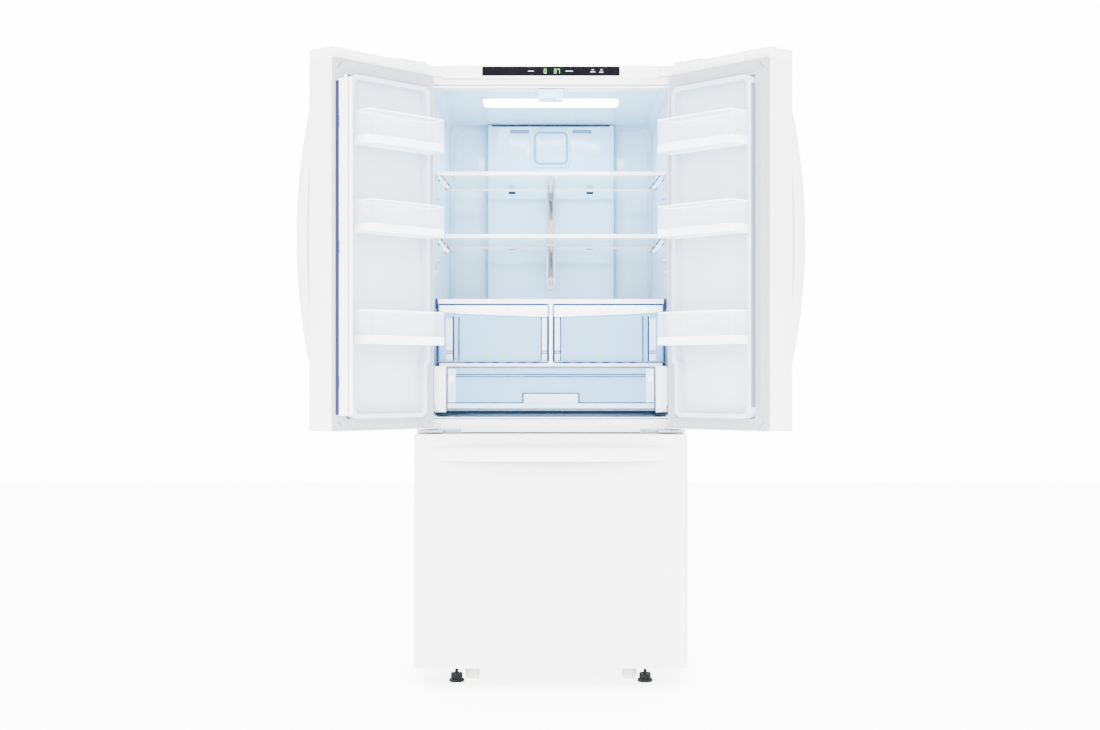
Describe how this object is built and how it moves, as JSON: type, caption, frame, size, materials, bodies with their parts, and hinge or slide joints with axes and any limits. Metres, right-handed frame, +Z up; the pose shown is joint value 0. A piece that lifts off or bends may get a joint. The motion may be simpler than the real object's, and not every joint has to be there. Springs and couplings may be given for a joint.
{
  "type": "french door refrigerator",
  "caption": "White bottom-freezer refrigerator with paired hinged doors swung open, clear door bins, glass shelves, crispers and a pull-out freezer drawer.",
  "frame": {"origin": "on the floor at the centre of the footprint of the whole refrigerator as it stands with its doors swung open: on the middle plane, 154 mm behind the case front plane and 529 mm in front of the case back", "axes": "+X to the right as seen from the front, +Y towards the back, +Z up"},
  "size_m": [1.3666, 1.0577, 1.74],
  "materials": {
    "white_steel": "fine brushed texture under a satin white coat",
    "galvanised_steel": "dull zinc",
    "foam": "rigid foam",
    "liner_plastic": "smooth gloss",
    "white_plastic": "satin moulded",
    "black_glass": "polished",
    "plated_steel": "zinc plated",
    "lamp_lens": "frosted",
    "shelf_glass": "polished",
    "clear_plastic": "clear moulded",
    "grey_seal": "matte",
    "handle_paint": "satin white coat",
    "black_enamel": "satin enamel",
    "finned_aluminium": "mill finish",
    "dark_foot": "moulded",
    "roller_nylon": "moulded",
    "fan_plastic": "moulded"
  },
  "bodies": {
    "cabinet": {"cabinet_wrapper": "white_steel", "cabinet_back": "galvanised_steel", "base_frame": "galvanised_steel", "insulation": "foam", "fridge_liner": "liner_plastic", "freezer_liner": "liner_plastic", "center_rail": "white_plastic", "top_trim": "white_plastic", "control_display": "black_glass", "hinge_covers": "white_plastic", "hinge_brackets": "plated_steel", "duct_cover": "liner_plastic", "air_filter_cover": "liner_plastic", "ceiling_lamp": "lamp_lens", "mullion_guide": "liner_plastic", "shelf_track": "plated_steel", "shelf_brackets": "plated_steel", "shelf_glass": "shelf_glass", "shelf_frames": "white_plastic", "crisper_cover": "white_plastic", "crisper_frame": "white_plastic", "freezer_rails": "plated_steel", "machine_room_cover": "galvanised_steel", "compressor": "black_enamel", "condenser": "finned_aluminium", "evaporator": "finned_aluminium", "evaporator_cover": "liner_plastic"},
    "left_door": {"left_door_skin": "white_steel", "left_door_core": "foam", "left_door_caps": "white_plastic", "left_door_liner": "liner_plastic", "left_door_gasket": "grey_seal", "left_door_handle": "handle_paint", "left_door_bins": "clear_plastic"},
    "right_door": {"right_door_skin": "white_steel", "right_door_core": "foam", "right_door_caps": "white_plastic", "right_door_liner": "liner_plastic", "right_door_gasket": "grey_seal", "right_door_handle": "handle_paint", "right_door_bins": "clear_plastic"},
    "mullion": {"mullion_bar": "white_plastic"},
    "left_crisper": {"left_crisper": "clear_plastic"},
    "right_crisper": {"right_crisper": "clear_plastic"},
    "pantry_drawer": {"pantry_drawer": "clear_plastic"},
    "freezer_drawer": {"freezer_drawer_skin": "white_steel", "freezer_drawer_core": "foam", "freezer_drawer_gasket": "grey_seal", "freezer_drawer_handle": "handle_paint", "drawer_rails": "plated_steel", "freezer_basket": "clear_plastic"},
    "freezer_tray": {"freezer_tray": "clear_plastic"},
    "leveling_leg_left": {"leveling_leg_left": "dark_foot"},
    "leveling_leg_right": {"leveling_leg_right": "dark_foot"},
    "front_roller_left": {"front_roller_left": "roller_nylon"},
    "front_roller_right": {"front_roller_right": "roller_nylon"},
    "rear_roller_left": {"rear_roller_left": "roller_nylon"},
    "rear_roller_right": {"rear_roller_right": "roller_nylon"},
    "condenser_fan": {"condenser_fan": "fan_plastic"},
    "evaporator_fan": {"evaporator_fan": "fan_plastic"}
  },
  "joints": [
    {"name": "left_door_hinge", "type": "hinge", "parent": "cabinet", "child": "left_door", "pos_m": [-0.3612, -0.2013, 0.719], "axis": [0, 0, -1], "range_deg": [-131.8, 0]},
    {"name": "right_door_hinge", "type": "hinge", "parent": "cabinet", "child": "right_door", "pos_m": [0.3612, -0.2013, 0.719], "axis": [0, 0, 1], "range_deg": [-131.8, 0]},
    {"name": "mullion_fold", "type": "hinge", "parent": "left_door", "child": "mullion", "pos_m": [-0.5494, -0.49475, 0.762], "axis": [0, 0, 1], "range_deg": [-90, 0]},
    {"name": "left_crisper_slide", "type": "slide", "parent": "cabinet", "child": "left_crisper", "axis": [0, -1, 0], "range_m": [0, 0.2]},
    {"name": "right_crisper_slide", "type": "slide", "parent": "cabinet", "child": "right_crisper", "axis": [0, -1, 0], "range_m": [0, 0.2]},
    {"name": "pantry_drawer_slide", "type": "slide", "parent": "cabinet", "child": "pantry_drawer", "axis": [0, -1, 0], "range_m": [0, 0.3]},
    {"name": "freezer_drawer_slide", "type": "slide", "parent": "cabinet", "child": "freezer_drawer", "axis": [0, -1, 0], "range_m": [0, 0.35]},
    {"name": "freezer_tray_slide", "type": "slide", "parent": "freezer_drawer", "child": "freezer_tray", "axis": [0, 1, 0], "range_m": [0, 0.13]},
    {"name": "leveling_leg_left_turn", "type": "hinge", "parent": "cabinet", "child": "leveling_leg_left", "pos_m": [-0.267, -0.124, 0], "axis": [0, 0, 1], "continuous": true},
    {"name": "leveling_leg_right_turn", "type": "hinge", "parent": "cabinet", "child": "leveling_leg_right", "pos_m": [0.267, -0.124, 0], "axis": [0, 0, 1], "continuous": true},
    {"name": "front_roller_left_turn", "type": "hinge", "parent": "cabinet", "child": "front_roller_left", "pos_m": [-0.223, -0.088, 0.021], "axis": [1, 0, 0], "continuous": true},
    {"name": "rear_roller_left_turn", "type": "hinge", "parent": "cabinet", "child": "rear_roller_left", "pos_m": [-0.3, 0.476, 0.019], "axis": [1, 0, 0], "continuous": true},
    {"name": "front_roller_right_turn", "type": "hinge", "parent": "cabinet", "child": "front_roller_right", "pos_m": [0.223, -0.088, 0.021], "axis": [1, 0, 0], "continuous": true},
    {"name": "rear_roller_right_turn", "type": "hinge", "parent": "cabinet", "child": "rear_roller_right", "pos_m": [0.3, 0.476, 0.019], "axis": [1, 0, 0], "continuous": true},
    {"name": "condenser_fan_turn", "type": "hinge", "parent": "cabinet", "child": "condenser_fan", "pos_m": [0.055, 0.414, 0.165], "axis": [0, 1, 0], "continuous": true},
    {"name": "evaporator_fan_turn", "type": "hinge", "parent": "cabinet", "child": "evaporator_fan", "pos_m": [0, 0.391, 0.622], "axis": [0, 1, 0], "continuous": true}
  ]
}
